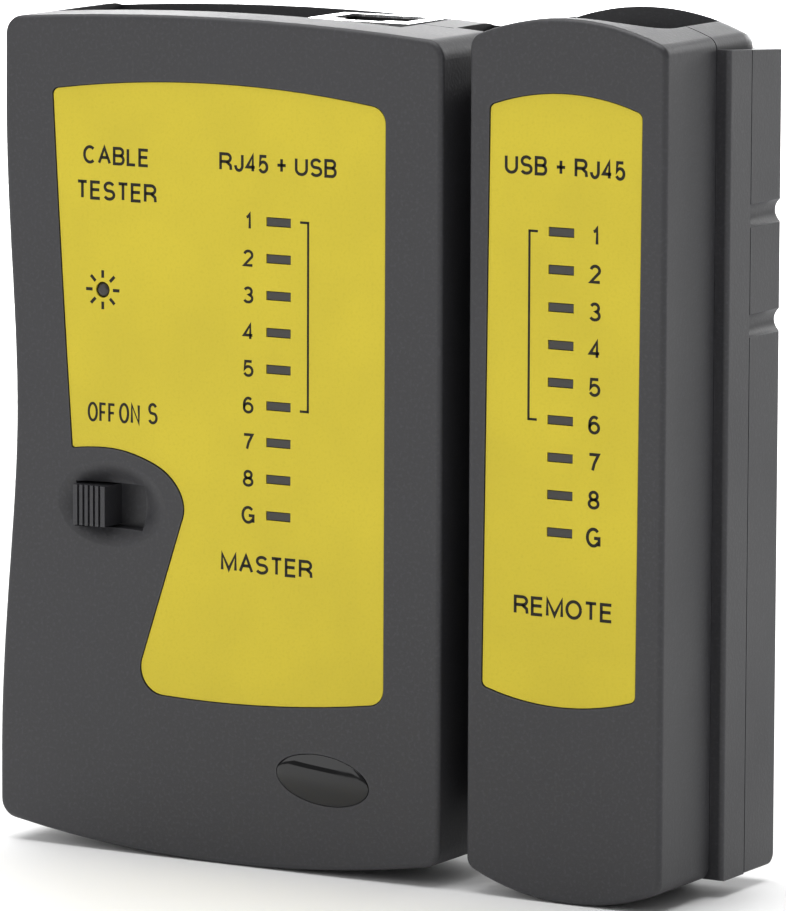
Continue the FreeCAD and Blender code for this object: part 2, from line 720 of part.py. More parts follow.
def axial_part(x, z, front, body_length, radius):
    """A resistor or diode lying along X, on bent wire legs."""
    height = front + radius + 0.3
    body = Part.makeCylinder(radius, body_length, V(x - body_length / 2, height, z), V(1, 0, 0))
    reach = body_length / 2 + 1.6
    wire = Part.makeCylinder(0.28, 2 * reach, V(x - reach, height, z), V(1, 0, 0))
    legs = [rod(x + s, z, 0.28, front, height) for s in (-reach, reach)]
    return body.multiFuse([wire] + legs)


def can_capacitor(x, z, front, radius, length):
    can = rod(x, z, radius, front + 0.2, front + length)
    can = can.makeFillet(0.4, rim_edges(can, front + length))
    foot = rod(x, z, radius - 0.5, front, front + 0.3)
    return can.fuse(foot)


# ---------------------------------------------------------------- switch

def switch_body():
    """The slide switch on the board, with a slot for the knob's stem."""
    front = FRONT + 4.6
    can = box((-39.6, -28.4), (front, MASTER_BOARD_FRONT), (42.6, 49.2))
    stem_x = (KNOB_X[0] + 0.8, KNOB_X[1] - 1.0 + KNOB_TRAVEL + 0.4)
    stem_slot = box(stem_x, (front - 1, front + 2.6), (44.6, 47.2))
    return can.cut(stem_slot)


def switch_knob():
    """The knob: a ribbed cap on a cover plate that keeps the slot closed as it slides."""
    cap = box(KNOB_X, (KNOB_FACE, FRONT + 3.6), KNOB_Z)
    pitch = (KNOB_X[1] - KNOB_X[0]) / KNOB_RIBS
    grooves = []
    for i in range(1, KNOB_RIBS):
        x = KNOB_X[0] + i * pitch
        depth = (KNOB_FACE - 1, KNOB_FACE + 0.4)
        grooves.append(box((x - 0.17, x + 0.17), depth, (KNOB_Z[0] - 1, KNOB_Z[1] + 1)))
    cap = cap.cut(grooves)
    plate = box((SLOT_X[0] - KNOB_TRAVEL - 0.2, SLOT_X[1] + 0.3), (FRONT + 3.5, FRONT + 4.2), (42.3, 49.5))
    middle = (KNOB_X[0] + KNOB_X[1]) / 2
    stem = box((middle - 1.0, middle + 1.0), (FRONT + 4.1, FRONT + 6.8), (44.9, 46.9))
    return cap.multiFuse([plate, stem])


# ---------------------------------------------------------------- battery

def battery():
    block = box(BATTERY_X, BATTERY_Y, BATTERY_Z)
    return block.makeFillet(2.0, [edge for edge in block.Edges if edge.BoundBox.XLength > 40])


def battery_terminals():
    x = BATTERY_X[1]
    y = (BATTERY_Y[0] + BATTERY_Y[1]) / 2
    z = (BATTERY_Z[0] + BATTERY_Z[1]) / 2
    studs = []
    for dz, radius in ((-6.35, 2.8), (6.35, 3.7)):
        stud = Part.makeCylinder(radius, 2.1, V(x, y, z + dz), V(1, 0, 0))
        hole = Part.makeCylinder(radius - 1.0, 3.0, V(x + 0.7, y, z + dz), V(1, 0, 0))
        studs.append(stud.cut(hole))
    return group(studs)


def battery_snap():
    """The moulded strip that clips over both terminals."""
    x = BATTERY_X[1] + 2.2
    y = (BATTERY_Y[0] + BATTERY_Y[1]) / 2
    z = (BATTERY_Z[0] + BATTERY_Z[1]) / 2
    strip = box((x, x + 2.6), (y - 4.6, y + 4.6), (z - 12.0, z + 12.0))
    return strip.makeFillet(1.2, [edge for edge in strip.Edges if edge.BoundBox.XLength > 2.5])


def battery_lead(y, z, height):
    """A lead: up behind the snap, then forward at a given height to the back of the board."""
    x = 6.6
    bend = 2.0
    board_back = MASTER_BOARD_FRONT + BOARD_THICKNESS
    start = V(x, y, z)
    turn = V(x, y, height - bend)
    after = V(x, y - bend, height)
    slant = bend * math.cos(math.pi / 4)
    middle = V(x, y - bend + slant, height - bend + slant)
    path = Part.Wire([Part.LineSegment(start, turn).toShape(),
                      Part.Arc(turn, middle, after).toShape(),
                      Part.LineSegment(after, V(x, board_back, height)).toShape()])
    ring = Part.Wire([Part.makeCircle(0.6, start, V(0, 0, 1))])
    return path.makePipeShell([ring], True, False)


def battery_foam():
    return box((-36.0, -8.0), (FRONT + WALL, BATTERY_Y[0] - 0.05), (9.0, 27.0))


# ---------------------------------------------------------------- screws

def cross_cut(x, z, y):
    arms = [box((x - 1.3, x + 1.3), (y - 0.9, y + 0.1), (z - 0.3, z + 0.3)),
            box((x - 0.3, x + 0.3), (y - 0.9, y + 0.1), (z - 1.3, z + 1.3))]
    return arms


def case_screw(x, z):
    head_top = SCREW_SEAT + 1.9
    head = rod(x, z, 2.6, SCREW_SEAT, head_top)
    head = head.makeFillet(0.7, rim_edges(head, head_top))
    shank = rod(x, z, 1.25, SCREW_SEAT - CASE_SCREW_LENGTH, SCREW_SEAT + 0.1)
    return head.fuse(shank).cut(cross_cut(x, z, head_top))


def board_screw(x, z, board_front):
    seat = board_front + BOARD_THICKNESS
    head = rod(x, z, 1.7, seat, seat + 1.2)
    shank = rod(x, z, 0.8, seat - 6.0, seat + 0.1)
    slot = box((x - 1.2, x + 1.2), (seat + 0.7, seat + 2), (z - 0.2, z + 0.2))
    return head.fuse(shank).cut(slot)


# ---------------------------------------------------------------- assembly

def build_master():
    body = master_body()
    save("master_front_shell", master_front_shell(body))
    save("master_back_shell", master_back_shell(body))
    save("battery_door", battery_door(rounded_case(master_block, MASTER_CORNER)))
    save("master_label", master_label())
    save("oval_badge", oval_badge())
    front = MASTER_BOARD_FRONT
    save("master_board", board((-45.0, 13.5), (33.6, 103.8), front, MASTER_SCREWS, MASTER_POSTS))
    save("master_lamps", bar_lamps(MASTER_LAMPS, MASTER_BOARD_FRONT))
    save("power_lamp", power_lamp())
    save("switch_body", switch_body())
    save("switch_knob", switch_knob())
    back = MASTER_BOARD_FRONT + BOARD_THICKNESS
    save("counter_chip", chip(-34.0, 66.0, 16, back))
    save("timer_chip", chip(-30.0, 52.0, 8, back))
    save("master_resistors", group([axial_part(-8.0, 52.0 + 3.6 * i, back, 6.3, 1.15) for i in range(8)]))
    save("master_capacitors", group([can_capacitor(x, 58.0, back, 2.5, 7.0) for x in (-38.0, -17.0)]))
    save("battery", battery())
    save("battery_terminals", battery_terminals())
    save("battery_snap", battery_snap())
    save("battery_lead_red", battery_lead(4.2, 25.0, 38.4))
    save("battery_lead_black", battery_lead(1.6, 13.0, 36.0))
    save("battery_foam", battery_foam())
    save("master_case_screws", group([case_screw(x, z) for x, z in MASTER_SCREWS]))
    save("master_board_screws", group([board_screw(x, z, MASTER_BOARD_FRONT) for x, z in MASTER_POSTS]))


def build_remote():
    body = remote_body()
    save("remote_front_shell", remote_front_shell(body))
    save("remote_back_shell", remote_back_shell(body))
    save("remote_label", remote_label())
    front = REMOTE_BOARD_FRONT
    save("remote_board", board((22.6, 45.6), (12.0, 105.0), front, REMOTE_SCREWS, REMOTE_POSTS))
    save("remote_lamps", bar_lamps(REMOTE_LAMPS, REMOTE_BOARD_FRONT))
    back = REMOTE_BOARD_FRONT + BOARD_THICKNESS
    save("remote_diodes", group([axial_part(35.0, 48.0 + 3.8 * i, back, 4.2, 1.0) for i in range(8)]))
    save("remote_case_screws", group([case_screw(x, z) for x, z in REMOTE_SCREWS]))
    save("remote_board_screws", group([board_screw(x, z, REMOTE_BOARD_FRONT) for x, z in REMOTE_POSTS]))


def build_ports():
    jacks = (("master", MASTER_JACK, MASTER_JACK_WIDTH), ("remote", REMOTE_JACK, REMOTE_JACK_WIDTH))
    for unit, corner, width in jacks:
        save(unit + "_jack_shield", jack_shield(corner, width))
        save(unit + "_jack_body", jack_body(corner, width))
        save(unit + "_jack_contacts", jack_contacts(corner, width))
    for unit, corner, turned in (("master", MASTER_USB, False), ("remote", REMOTE_USB, True)):
        save(unit + "_usb_shell", place_usb(usb_shell(), corner, turned))
        save(unit + "_usb_tongue", place_usb(usb_tongue(), corner, turned))
        save(unit + "_usb_contacts", place_usb(usb_contacts(), corner, turned))


build_master()
build_remote()
build_ports()
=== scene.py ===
import json
import math

import bmesh
import bpy
from mathutils import Matrix, Vector


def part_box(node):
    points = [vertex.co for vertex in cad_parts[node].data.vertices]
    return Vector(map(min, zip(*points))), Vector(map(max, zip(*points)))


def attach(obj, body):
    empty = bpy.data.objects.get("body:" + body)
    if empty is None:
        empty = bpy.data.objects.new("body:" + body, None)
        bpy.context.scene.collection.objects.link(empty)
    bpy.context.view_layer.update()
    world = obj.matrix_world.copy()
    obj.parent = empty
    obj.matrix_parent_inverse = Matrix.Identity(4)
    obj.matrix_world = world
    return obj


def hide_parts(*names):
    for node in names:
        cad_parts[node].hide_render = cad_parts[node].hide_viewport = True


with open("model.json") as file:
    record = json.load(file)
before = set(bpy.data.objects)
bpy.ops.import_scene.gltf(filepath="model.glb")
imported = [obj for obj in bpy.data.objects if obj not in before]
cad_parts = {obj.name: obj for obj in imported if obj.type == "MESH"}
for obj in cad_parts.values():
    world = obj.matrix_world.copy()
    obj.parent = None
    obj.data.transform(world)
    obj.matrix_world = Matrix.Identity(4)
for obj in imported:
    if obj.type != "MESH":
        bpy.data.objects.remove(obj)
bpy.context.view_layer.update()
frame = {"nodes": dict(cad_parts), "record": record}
MM = 0.001
scene = bpy.context.scene

# ---------------------------------------------------------------- camera

CAMERA_TURN = math.radians(30.0)
CAMERA_FALL = math.radians(8.3)
CAMERA_ROLL = math.radians(0.2)
CAMERA_DISTANCE = 969.4 * MM
CAMERA_TARGET = Vector((9.52, -13.61, 55.49)) * MM
LENS = 301.7
SENSOR = 36.0


def make_camera():
    turn, fall, roll = CAMERA_TURN, CAMERA_FALL, CAMERA_ROLL
    ahead = Vector((-math.sin(turn) * math.cos(fall), math.cos(turn) * math.cos(fall), -math.sin(fall)))
    level = Vector((math.cos(turn), math.sin(turn), 0.0))
    rise = level.cross(ahead)
    right = math.cos(roll) * level + math.sin(roll) * rise
    up = -math.sin(roll) * level + math.cos(roll) * rise
    data = bpy.data.cameras.new("camera")
    data.sensor_fit = "VERTICAL"
    data.sensor_height = SENSOR
    data.sensor_width = SENSOR
    data.lens = LENS
    data.clip_start = 0.01
    data.clip_end = 100.0
    camera = bpy.data.objects.new("camera", data)
    scene.collection.objects.link(camera)
    turned = Matrix((right, up, -ahead)).transposed().to_4x4()
    turned.translation = CAMERA_TARGET - ahead * CAMERA_DISTANCE
    camera.matrix_world = turned
    scene.camera = camera


# ---------------------------------------------------------------- shader building

class Look:
    """A material being built: a Principled shader and short names for the nodes used here."""

    def __init__(self, name, rough=0.5, metallic=0.0, specular=0.5, coat=0.0):
        self.material = bpy.data.materials.new(name)
        self.material.use_nodes = True
        self.tree = self.material.node_tree
        self.tree.nodes.clear()
        self.shader = self.node("ShaderNodeBsdfPrincipled")
        out = self.node("ShaderNodeOutputMaterial")
        self.link(self.shader.outputs["BSDF"], out.inputs["Surface"])
        self.place = self.node("ShaderNodeTexCoord").outputs["Object"]
        self.shader.inputs["Roughness"].default_value = rough
        self.shader.inputs["Metallic"].default_value = metallic
        self.shader.inputs["Specular IOR Level"].default_value = specular
        self.shader.inputs["Coat Weight"].default_value = coat

    def node(self, kind, **settings):
        made = self.tree.nodes.new(kind)
        for key, value in settings.items():
            setattr(made, key, value)
        return made

    def link(self, source, target):
        self.tree.links.new(source, target)

    def stretched(self, x, y, z):
        """Object coordinates scaled on each axis."""
        mapping = self.node("ShaderNodeMapping")
        self.link(self.place, mapping.inputs["Vector"])
        mapping.inputs["Scale"].default_value = (x, y, z)
        return mapping.outputs["Vector"]

    def noise(self, scale, detail=2.0, rough=0.5, place=None):
        made = self.node("ShaderNodeTexNoise")
        self.link(place or self.place, made.inputs["Vector"])
        made.inputs["Scale"].default_value = scale
        made.inputs["Detail"].default_value = detail
        made.inputs["Roughness"].default_value = rough
        return made.outputs["Fac"]

    def cells(self, scale):
        made = self.node("ShaderNodeTexVoronoi")
        self.link(self.place, made.inputs["Vector"])
        made.inputs["Scale"].default_value = scale
        return made.outputs["Distance"]

    def spread(self, value, low, high, to_low, to_high):
        """Maps a value from one range to another, held inside the new range."""
        made = self.node("ShaderNodeMapRange")
        self.link(value, made.inputs["Value"])
        for key, number in (("From Min", low), ("From Max", high), ("To Min", to_low), ("To Max", to_high)):
            made.inputs[key].default_value = number
        return made.outputs["Result"]

    def mix(self, factor, first, second):
        made = self.node("ShaderNodeMix", data_type="RGBA")
        self.link(factor, made.inputs["Factor"])
        for key, colour in (("A", first), ("B", second)):
            socket = [s for s in made.inputs if s.name == key and s.type == "RGBA"][0]
            if isinstance(colour, tuple):
                socket.default_value = (*colour, 1.0)
            else:
                self.link(colour, socket)
        return [s for s in made.outputs if s.type == "RGBA"][0]

    def combine(self, first, second, operation="ADD"):
        """One arithmetic step between two values; the second may be a plain number."""
        made = self.node("ShaderNodeMath", operation=operation)
        self.link(first, made.inputs[0])
        if isinstance(second, (int, float)):
            made.inputs[1].default_value = second
        else:
            self.link(second, made.inputs[1])
        return made.outputs["Value"]

    def colour(self, source):
        self.link(source, self.shader.inputs["Base Color"])

    def roughness(self, source):
        self.link(source, self.shader.inputs["Roughness"])

    def bump(self, height, distance, strength=1.0, under=None):
        made = self.node("ShaderNodeBump")
        made.inputs["Strength"].default_value = strength
        made.inputs["Distance"].default_value = distance
        self.link(height, made.inputs["Height"])
        if under is not None:
            self.link(under, made.inputs["Normal"])
        self.link(made.outputs["Normal"], self.shader.inputs["Normal"])
        return made.outputs["Normal"]

    def lit_edge_mask(self, radius, low, high):
        """About 1 on sharp outer edges and 0 on flats, from a bevelled normal."""
        bevel = self.node("ShaderNodeBevel", samples=4)
        bevel.inputs["Radius"].default_value = radius
        flat = self.node("ShaderNodeNewGeometry")
        dot = self.node("ShaderNodeVectorMath", operation="DOT_PRODUCT")
        self.link(bevel.outputs["Normal"], dot.inputs[0])
        self.link(flat.outputs["Normal"], dot.inputs[1])
        return self.spread(dot.outputs["Value"], low, high, 1.0, 0.0)


def scaled(colour, factor):
    return tuple(min(1.0, c * factor) for c in colour)


def moulded(name, colour, rough, grain=2200.0, depth=0.00003, edge_highlight=0.0, specular=0.5):
    """Moulded plastic with a fine spark-eroded grain, and an optional painted highlight on sharp outer
    edges.
    """
    look = Look(name, specular=specular)
    broad = look.noise(45.0, 4.0)
    fine = look.noise(grain, 2.0, 0.6)
    tint = look.mix(look.spread(broad, 0.35, 0.65, 0.0, 1.0), scaled(colour, 0.92), scaled(colour, 1.08))
    tint = look.mix(look.spread(fine, 0.50, 0.75, 0.0, 0.6), tint, scaled(colour, 2.0))
    # Painted highlight: sharp outer edges are lightened towards 2.6 times the colour, in noisy patches,
    # standing in for light caught on the edges
    if edge_highlight:
        edge = look.lit_edge_mask(0.0005, 0.90, 0.995)
        patchy_highlight = look.combine(edge, look.spread(look.noise(500.0, 3.0), 0.35, 0.7, 0.3, 1.0), "MULTIPLY")
        tint = look.mix(look.combine(patchy_highlight, edge_highlight, "MULTIPLY"), tint, scaled(colour, 2.6))
    look.colour(tint)
    look.roughness(look.spread(look.combine(broad, fine), 0.7, 1.3, rough - 0.05, rough + 0.06))
    under = look.bump(look.noise(260.0, 2.0), 0.00004, 0.5)
    look.bump(fine, depth, 1.0, under)
    return look.material


def printed_film(name, colour):
    """Matte printed plastic film with a fine leathery grain."""
    look = Look(name, specular=0.4)
    fine = look.noise(2600.0, 2.0, 0.6)
    broad = look.noise(70.0, 3.0)
    tint = look.mix(look.spread(broad, 0.35, 0.65, 0.0, 1.0), scaled(colour, 0.96), scaled(colour, 1.03))
    tint = look.mix(look.spread(fine, 0.5, 0.8, 0.0, 0.35), tint, scaled(colour, 0.78))
    look.colour(tint)
    look.roughness(look.spread(fine, 0.3, 0.7, 0.40, 0.54))
    look.bump(fine, 0.000026, 1.0)
    return look.material


def ink(name, colour):
    look = Look(name, specular=0.25)
    fine = look.noise(2600.0, 2.0, 0.6)
    look.colour(look.mix(look.spread(fine, 0.45, 0.8, 0.0, 0.6), colour, scaled(colour, 2.2)))
    look.roughness(look.spread(fine, 0.3, 0.7, 0.45, 0.6))
    look.bump(fine, 0.00001, 1.0)
    return look.material


def plated(name, colour, rough=0.22, scratch=(900.0, 900.0, 60.0)):
    """Plated sheet metal with drawn scratches and faint clouding."""
    look = Look(name, metallic=1.0)
    lines = look.noise(1.0, 3.0, 0.6, look.stretched(*scratch))
    cloud = look.noise(220.0, 3.0)
    look.colour(look.mix(look.spread(cloud, 0.35, 0.7, 0.0, 1.0), colour, scaled(colour, 0.78)))
    look.roughness(look.spread(look.combine(lines, cloud), 0.7, 1.3, rough - 0.07, rough + 0.12))
    look.bump(lines, 0.0000015, 0.5)
    return look.material


def glossy(name, colour, rough=0.12, coat=0.0):
    """Smooth glossy resin with faint waviness and small specks."""
    look = Look(name, coat=coat)
    broad = look.noise(160.0, 2.0)
    specks = look.noise(3200.0, 2.0)
    look.colour(look.mix(look.spread(specks, 0.6, 0.8, 0.0, 0.5), colour, scaled(colour, 1.8)))
    look.roughness(look.spread(broad, 0.35, 0.65, rough - 0.03, rough + 0.06))
    look.bump(broad, 0.00002, 0.4)
    return look.material


def board_mask(name):
    """Green solder mask over faint copper runs."""
    look = Look(name, specular=0.5)
    runs = look.noise(1.0, 0.0, 0.5, look.stretched(90.0, 90.0, 640.0))
    other = look.noise(1.0, 0.0, 0.5, look.stretched(560.0, 90.0, 120.0))
    track = look.spread(look.combine(runs, other, "MAXIMUM"), 0.60, 0.62, 0.0, 1.0)
    fine = look.noise(2400.0)
    look.colour(look.mix(track, (0.010, 0.085, 0.035), (0.022, 0.17, 0.060)))
    look.roughness(look.spread(fine, 0.3, 0.7, 0.25, 0.38))
    look.bump(track, 0.00003, 0.6)
    return look.material


def banded(name, body, bands, axis, pitch, first, width, rough=0.3):
    """Lacquered parts with painted rings, spaced along one axis."""
    look = Look(name, specular=0.5)
    parts = look.node("ShaderNodeSeparateXYZ")
    look.link(look.place, parts.inputs["Vector"])
    along = look.combine(look.combine(parts.outputs[axis], -first), 1.0 / pitch, "MULTIPLY")
    saw = look.combine(along, 1.0, "FLOORED_MODULO")
    ring = look.spread(saw, width, width + 0.02, 1.0, 0.0)
    cloud = look.noise(700.0, 3.0)
    tint = look.mix(look.spread(cloud, 0.35, 0.65, 0.0, 1.0), scaled(body, 0.9), scaled(body, 1.1))
    look.colour(look.mix(ring, tint, bands))
    look.roughness(look.spread(cloud, 0.3, 0.7, rough - 0.05, rough + 0.1))
    look.bump(cloud, 0.00002, 0.5)
    return look.material


def battery_print(name):
    """A steel battery jacket: dark body, and a copper-coloured band at the terminal end."""
    low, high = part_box("battery")
    look = Look(name, rough=0.3, metallic=0.35)
    parts = look.node("ShaderNodeSeparateXYZ")
    look.link(look.place, parts.inputs["Vector"])
    edge = low.x + (high.x - low.x) * 0.68
    band = look.spread(parts.outputs["X"], edge, edge + 0.0002, 0.0, 1.0)
    scuffs = look.noise(1.0, 4.0, 0.6, look.stretched(60.0, 500.0, 500.0))
    body = look.mix(look.spread(scuffs, 0.4, 0.75, 0.0, 1.0), (0.010, 0.011, 0.013), (0.035, 0.036, 0.040))
    look.colour(look.mix(band, body, (0.55, 0.24, 0.07)))
    look.roughness(look.spread(scuffs, 0.3, 0.7, 0.24, 0.42))
    look.bump(scuffs, 0.00001, 0.6)
    return look.material


def foam(name):
    look = Look(name, rough=0.95, specular=0.2)
    pores = look.cells(1500.0)
    look.colour(look.mix(look.spread(pores, 0.1, 0.6, 0.0, 1.0), (0.012, 0.012, 0.012), (0.07, 0.07, 0.072)))
    look.bump(pores, 0.0002, 1.0)
    return look.material


# Colours are linear; each entry's name is the material slot that it dresses
CASE = (0.0285, 0.0283, 0.0315)
YELLOW = (0.640, 0.515, 0.020)
LOOKS = {
    # For the case and the knob, the last number is the strength of their painted edge highlight
    "case_plastic": moulded("case_plastic", CASE, 0.52, edge_highlight=0.5),
    "label_film": printed_film("label_film", YELLOW),
    "badge_resin": glossy("badge_resin", (0.002, 0.002, 0.0025), 0.05),
    "circuit_board": board_mask("circuit_board"),
    "lamp_lens": glossy("lamp_lens", (0.030, 0.028, 0.024), 0.35),
    "knob_plastic": moulded("knob_plastic", (0.022, 0.022, 0.025), 0.42, 1800.0, 0.00001, 0.4),
    "nickel_plate": plated("nickel_plate", (0.74, 0.74, 0.75)),
    "port_plastic": moulded("port_plastic", (0.010, 0.010, 0.011), 0.35, 1500.0, 0.00001),
    "tongue_plastic": moulded("tongue_plastic", (0.62, 0.62, 0.58), 0.35, 1500.0, 0.00001),
    "gold_contact": plated("gold_contact", (0.83, 0.60, 0.24), 0.2),
    "chip_epoxy": moulded("chip_epoxy", (0.016, 0.016, 0.017), 0.6, 2000.0, 0.00003),
    "resistor_lacquer": banded("resistor_lacquer", (0.55, 0.40, 0.24), (0.16, 0.03, 0.02), "X",
                               0.0016, -0.0113, 0.3),
    "capacitor_can": plated("capacitor_can", (0.70, 0.71, 0.73), 0.3, (500.0, 60.0, 500.0)),
    "battery_jacket": battery_print("battery_jacket"),
    "snap_vinyl": moulded("snap_vinyl", (0.014, 0.014, 0.014), 0.45, 1600.0, 0.00002),
    "lead_red": moulded("lead_red", (0.42, 0.012, 0.010), 0.4, 1600.0, 0.00001),
    "lead_black": moulded("lead_black", (0.012, 0.012, 0.012), 0.4, 1600.0, 0.00001),
    "foam": foam("foam"),
    "screw_steel": plated("screw_steel", (0.52, 0.52, 0.53), 0.32, (1400.0, 200.0, 1400.0)),
    "diode_glass": banded("diode_glass", (0.50, 0.13, 0.03), (0.01, 0.01, 0.01), "X",
                          0.0052, 0.0339, 0.16, 0.15),
}
INK = ink("legend_ink", (0.012, 0.010, 0.005))


def dress_cad_nodes():
    for part in frame["record"]["subparts"]:
        mesh = frame["nodes"][part["node"]].data
        mesh.materials.clear()
        mesh.materials.append(LOOKS[part["material_slot"]])


# ---------------------------------------------------------------- print on the labels

PRINT_THICKNESS = 0.012 * MM
PRINT_LIFT = 0.004 * MM
# The print is drawn about an origin half a millimetre left of the frame's
DRAWING_SHIFT = 0.5 * MM


def bend(x, y, half_x, half_y, start, stop):
    """Points round part of an ellipse, between two angles in degrees."""
    steps = max(3, int(abs(stop - start) / 12))
    angles = [math.radians(start + (stop - start) * i / steps) for i in range(steps + 1)]
    return [(x + half_x * math.cos(a), y + half_y * math.sin(a)) for a in angles]


# Plain block capitals and digits: width for a height of 1, then the middle lines of the strokes
GLYPHS = {
    "A": (0.78, [[(0.0, 0.0), (0.5, 1.0), (1.0, 0.0)], [(0.2, 0.36), (0.8, 0.36)]]),
    "B": (0.70, [[(0.0, 0.53), (0.0, 1.0), (0.6, 1.0)] + bend(0.6, 0.765, 0.34, 0.235, 90, -90)
                 + [(0.0, 0.53), (0.0, 0.0), (0.62, 0.0)] + bend(0.62, 0.265, 0.38, 0.265, -90, 90)]),
    "C": (0.76, [bend(0.53, 0.5, 0.53, 0.5, 48, 312)]),
    "E": (0.64, [[(1.0, 1.0), (0.0, 1.0), (0.0, 0.0), (1.0, 0.0)], [(0.0, 0.53), (0.93, 0.53)]]),
    "F": (0.60, [[(1.0, 1.0), (0.0, 1.0), (0.0, 0.0)], [(0.0, 0.51), (0.88, 0.51)]]),
    "G": (0.80, [bend(0.5, 0.5, 0.5, 0.5, 42, 325), [(0.98, 0.0), (0.98, 0.46), (0.56, 0.46)]]),
    "J": (0.54, [[(1.0, 1.0)] + bend(0.5, 0.32, 0.5, 0.32, 0, -180)]),
    "L": (0.58, [[(0.0, 1.0), (0.0, 0.0), (1.0, 0.0)]]),
    "M": (0.86, [[(0.0, 0.0), (0.0, 1.0), (0.5, 0.05), (1.0, 1.0), (1.0, 0.0)]]),
    "N": (0.74, [[(0.0, 0.0), (0.0, 1.0), (1.0, 0.0), (1.0, 1.0)]]),
    "O": (0.82, [bend(0.5, 0.5, 0.5, 0.5, 0, 360)]),
    "R": (0.74, [[(0.0, 0.0), (0.0, 1.0), (0.6, 1.0)] + bend(0.6, 0.755, 0.36, 0.245, 90, -90)
                 + [(0.0, 0.51)], [(0.58, 0.51), (0.96, 0.28), (1.0, 0.0)]]),
    "S": (0.70, [bend(0.5, 0.745, 0.45, 0.255, 25, 240) + bend(0.5, 0.26, 0.5, 0.26, 60, -155)]),
    "T": (0.66, [[(0.0, 1.0), (1.0, 1.0)], [(0.5, 1.0), (0.5, 0.0)]]),
    "U": (0.74, [[(0.0, 1.0)] + bend(0.5, 0.34, 0.5, 0.34, 180, 360) + [(1.0, 1.0)]]),
    "1": (0.36, [[(0.0, 0.78), (0.45, 0.83), (0.9, 1.0), (0.9, 0.0)]]),
    "2": (0.58, [bend(0.5, 0.72, 0.47, 0.28, 165, -30) + [(0.02, 0.0), (1.0, 0.0)]]),
    "3": (0.58, [bend(0.48, 0.75, 0.42, 0.25, 155, -70) + bend(0.48, 0.26, 0.5, 0.26, 70, -155)]),
    "4": (0.60, [[(0.74, 0.0), (0.74, 1.0), (0.0, 0.26), (1.0, 0.26)]]),
    "5": (0.58, [[(0.92, 1.0), (0.16, 1.0), (0.06, 0.46)] + bend(0.5, 0.32, 0.5, 0.32, 135, -155)]),
    "6": (0.58, [bend(0.52, 0.52, 0.52, 0.48, 50, 180) + bend(0.5, 0.31, 0.5, 0.31, 180, 540)]),
    "7": (0.56, [[(0.0, 1.0), (1.0, 1.0), (0.55, 0.45), (0.36, 0.0)]]),
    "8": (0.58, [bend(0.5, 0.76, 0.41, 0.24, -90, 270) + bend(0.5, 0.26, 0.5, 0.26, 90, 450)]),
    "+": (0.62, [[(0.0, 0.5), (1.0, 0.5)], [(0.5, 0.1), (0.5, 0.9)]]),
    " ": (0.22, []),
}
# Both are shares of a letter's height; the switch's legend is printed a little finer
LETTER_GAP = 0.11
STROKE = 0.165
SWITCH_STROKE = 0.135


def add_faces(sheet, points, faces):
    made = [sheet.verts.new(p) for p in points]
    for face in faces:
        sheet.faces.new([made[i] for i in face])


def add_stroke(sheet, points, width):
    """Adds a line of even width along points in millimetres, with mitred corners."""
    path = [Vector(p) for i, p in enumerate(points)
            if i == 0 or (Vector(p) - Vector(points[i - 1])).length > 1e-4]
    sides = []
    for i, point in enumerate(path):
        ahead = (path[min(i + 1, len(path) - 1)] - path[min(i, len(path) - 2)]).normalized()
        behind = (path[max(i, 1)] - path[max(i - 1, 0)]).normalized()
        across = Vector((-ahead.y, ahead.x)) + Vector((-behind.y, behind.x))
        across.normalize()
        stretch = max(0.45, across.dot(Vector((-ahead.y, ahead.x))))
        sides.append(across * width / 2 / stretch)
    corners = []
    for point, side in zip(path, sides):
        for c in (point + side, point - side):
            corners.append((c.x * MM, 0.0, c.y * MM))
    add_faces(sheet, corners, [(2 * i, 2 * i + 1, 2 * i + 3, 2 * i + 2) for i in range(len(path) - 1)])


def add_word(sheet, words, x, z, stroke=STROKE):
    """Adds a word in block letters, fitted to its x and z limits in millimetres."""
    tall = z[1] - z[0]
    pen = stroke * tall
    units = sum(GLYPHS[c][0] for c in words) + LETTER_GAP * (len(words) - 1)
    scale = (x[1] - x[0]) / units
    left = x[0]
    for c in words:
        wide, strokes = GLYPHS[c]
        for path in strokes:
            points = [(left + pen / 2 + px * (wide * scale - pen), z[0] + pen / 2 + pz * (tall - pen))
                      for px, pz in path]
            add_stroke(sheet, points, pen)
        left += (wide + LETTER_GAP) * scale


def add_bar(sheet, centre, length, width, angle=0.0):
    """Adds a straight printed line, centred at (x, z) in millimetres."""
    along = Vector((math.cos(angle), math.sin(angle))) * length / 2
    across = Vector((-math.sin(angle), math.cos(angle))) * width / 2
    middle = Vector(centre)
    corners = [middle - along - across, middle + along - across,
               middle + along + across, middle - along + across]
    add_faces(sheet, [(c.x * MM, 0.0, c.y * MM) for c in corners], [(0, 1, 2, 3)])


def add_bracket(sheet, x, top, bottom, tick, width=0.32):
    """Adds a square bracket; the sign of tick says which way its ends point."""
    add_bar(sheet, (x, (top + bottom) / 2), top - bottom + width, width, math.pi / 2)
    for z in (top, bottom):
        add_bar(sheet, (x + tick / 2, z), abs(tick), width)


def finish_print(sheet, name, label, body):
    """Turns a printed sheet into a thin piece just proud of its label's face."""
    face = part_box(label)[0].y
    mesh = bpy.data.meshes.new(name)
    bmesh.ops.remove_doubles(sheet, verts=sheet.verts, dist=1e-7)
    bmesh.ops.recalc_face_normals(sheet, faces=sheet.faces)
    sheet.to_mesh(mesh)
    sheet.free()
    piece = bpy.data.objects.new(name, mesh)
    scene.collection.objects.link(piece)
    mesh.materials.append(INK)
    for vertex in mesh.vertices:
        vertex.co.y = face - PRINT_LIFT
        vertex.co.x += DRAWING_SHIFT
    thick = piece.modifiers.new("thickness", "SOLIDIFY")
    thick.thickness = PRINT_THICKNESS
    thick.offset = 0.0
    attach(piece, body)


LAMP_PITCH = 4.747
LAMP_NAMES = "12345678G"


